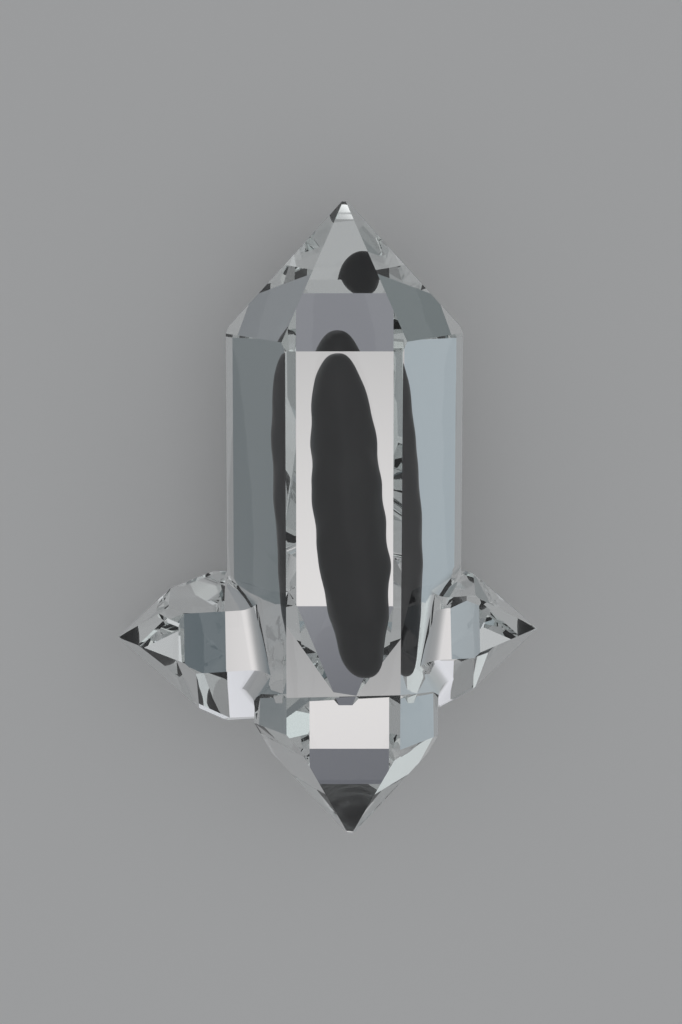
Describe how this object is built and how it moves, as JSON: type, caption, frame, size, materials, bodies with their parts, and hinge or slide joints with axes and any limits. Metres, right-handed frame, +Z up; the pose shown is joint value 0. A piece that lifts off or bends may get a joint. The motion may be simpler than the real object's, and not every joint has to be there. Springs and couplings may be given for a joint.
{
  "type": "quartz crystal",
  "caption": "Clear doubly terminated quartz crystal with a black core and a small crystal grown across it, lying on one prism face.",
  "frame": {"origin": "under the middle of the object, on the surface that it lies on", "axes": "+Y along the main crystal towards its upper tip, +X along the small crossing crystal, +Z up, away from the face it lies on"},
  "size_m": [0.0326, 0.0494, 0.0175],
  "materials": {
    "clear_quartz": "clear natural crystal faces, glassy",
    "black_inclusion": "black, flaky, with silvery and coppery glints"
  },
  "bodies": {
    "root": {"crystal_front_half": "clear_quartz", "crystal_back_half": "clear_quartz", "black_core": "black_inclusion"}
  },
  "joints": []
}
